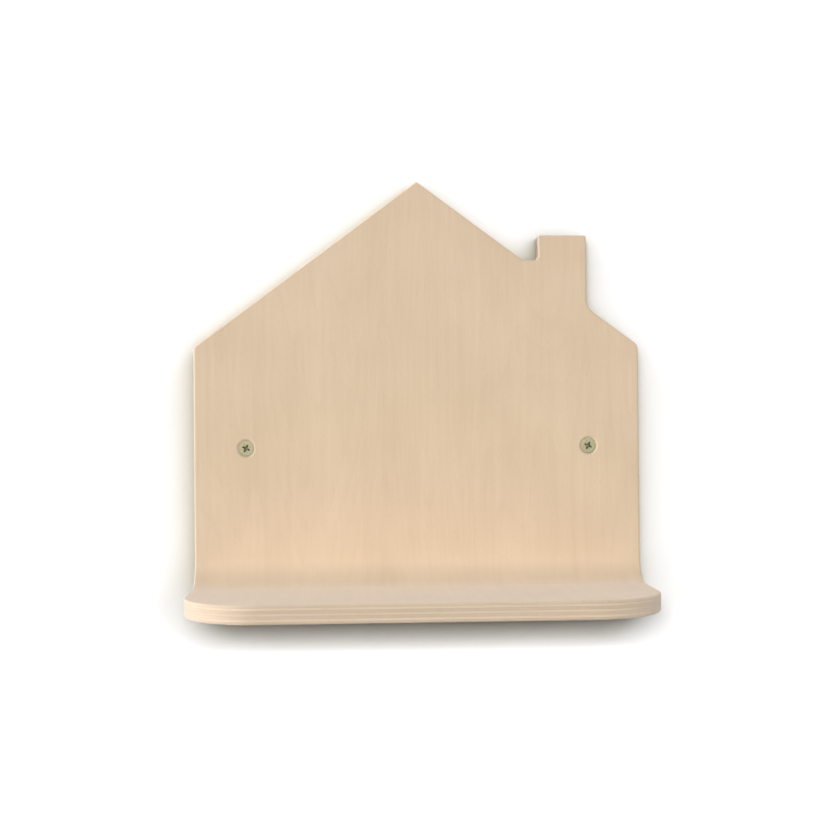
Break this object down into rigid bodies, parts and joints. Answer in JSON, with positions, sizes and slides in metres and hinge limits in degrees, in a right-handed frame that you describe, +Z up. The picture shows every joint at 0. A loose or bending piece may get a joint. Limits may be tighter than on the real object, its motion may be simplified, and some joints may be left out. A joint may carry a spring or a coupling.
{
  "type": "house-shaped wall shelf",
  "caption": "House-shaped wall shelf with gable and chimney, pressed from bent plywood: a flat back panel that turns forward into a small shelf with round corners, screwed to the wall.",
  "frame": {"origin": "on the wall plane, midway between the two wall screws", "axes": "+X to the right as one faces the shelf, +Y into the wall along the screws, +Z up"},
  "size_m": [0.28, 0.1377, 0.2632],
  "materials": {
    "face_wood": "pale beech veneer, sanded, clear matt finish",
    "long_wood": "pale beech veneer, cut and sanded edge, grain up the house and out along the shelf",
    "cross_wood": "pale beech veneer, cut and sanded edge, grain across the shelf",
    "screw_steel": "yellow zinc-plated steel"
  },
  "bodies": {
    "root": {"face_veneer": "face_wood", "cross_ply_front": "cross_wood", "long_ply_front": "long_wood", "cross_ply_centre": "cross_wood", "long_ply_back": "long_wood", "cross_ply_back": "cross_wood", "back_veneer": "face_wood", "left_wall_screw": "screw_steel", "right_wall_screw": "screw_steel"}
  },
  "joints": []
}
